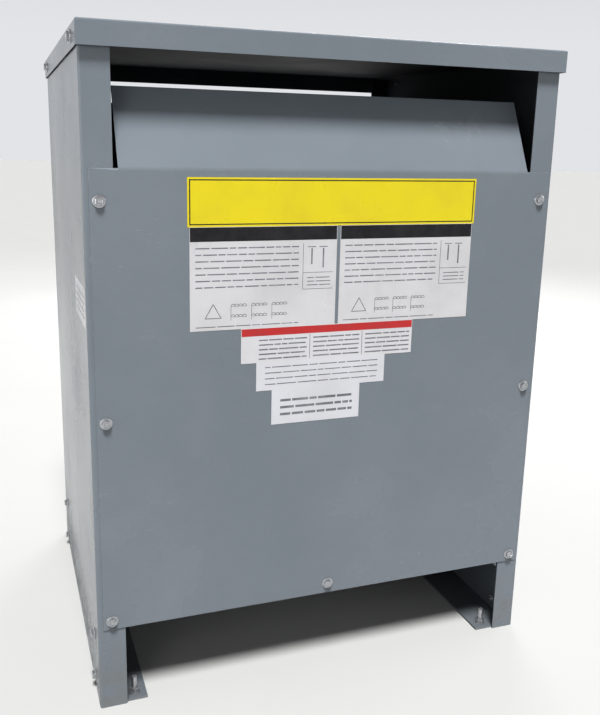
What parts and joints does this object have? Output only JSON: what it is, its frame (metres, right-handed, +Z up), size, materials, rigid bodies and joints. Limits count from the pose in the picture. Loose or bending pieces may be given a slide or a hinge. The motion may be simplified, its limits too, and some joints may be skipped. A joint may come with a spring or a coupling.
{
  "type": "floor-standing dry-type power transformer",
  "caption": "Ventilated dry-type power transformer in a grey sheet-metal enclosure with a shallow lid, bolted covers and floor angles; core and coils inside.",
  "frame": {"origin": "on the floor, under the middle of the enclosure", "axes": "+Z up, +X to the right seen from the front, +Y from the front to the back; the labelled cover faces -Y"},
  "size_m": [0.8264, 0.686, 1.092],
  "materials": {
    "enclosure_paint": "semi-gloss grey enamel with light orange peel",
    "zinc": "bright zinc plate",
    "frame_paint": "dull dark primer",
    "pad_rubber": "matt black rubber",
    "core_steel": "stacked steel sheets under varnish",
    "winding": "varnished insulation over the winding",
    "insulation": "insulating board",
    "yellow_plate": "printed film, bare of lettering",
    "white_plate": "printed film, bare of lettering",
    "strip_plate": "printed film with a plain red band",
    "white_sticker": "plain white film"
  },
  "bodies": {
    "root": {"back_cover": "enclosure_paint", "back_cover_screws": "zinc", "back_cross_rail": "frame_paint", "back_lower_clamp": "frame_paint", "back_sill": "enclosure_paint", "back_upper_clamp": "frame_paint", "coil_blocks": "insulation", "foot_studs": "zinc", "front_cover": "enclosure_paint", "front_cover_screws": "zinc", "front_cross_rail": "frame_paint", "front_lower_clamp": "frame_paint", "front_sill": "enclosure_paint", "front_upper_clamp": "frame_paint", "isolation_pads": "pad_rubber", "left_coil": "winding", "left_core_bearer": "frame_paint", "left_core_leg": "core_steel", "left_data_plate": "white_plate", "left_foot_angle": "enclosure_paint", "left_foot_bolts": "zinc", "left_side_panel": "enclosure_paint", "lid": "enclosure_paint", "lid_screws": "zinc", "lower_tie_bolts": "zinc", "lower_yoke": "core_steel", "middle_coil": "winding", "middle_core_leg": "core_steel", "note_label": "white_sticker", "right_coil": "winding", "right_core_bearer": "frame_paint", "right_core_leg": "core_steel", "right_data_plate": "white_plate", "right_foot_angle": "enclosure_paint", "right_foot_bolts": "zinc", "right_side_panel": "enclosure_paint", "side_label": "white_sticker", "slip_label": "white_sticker", "strip_label": "strip_plate", "title_plate": "yellow_plate", "upper_tie_bolts": "zinc", "upper_yoke": "core_steel"}
  },
  "joints": []
}
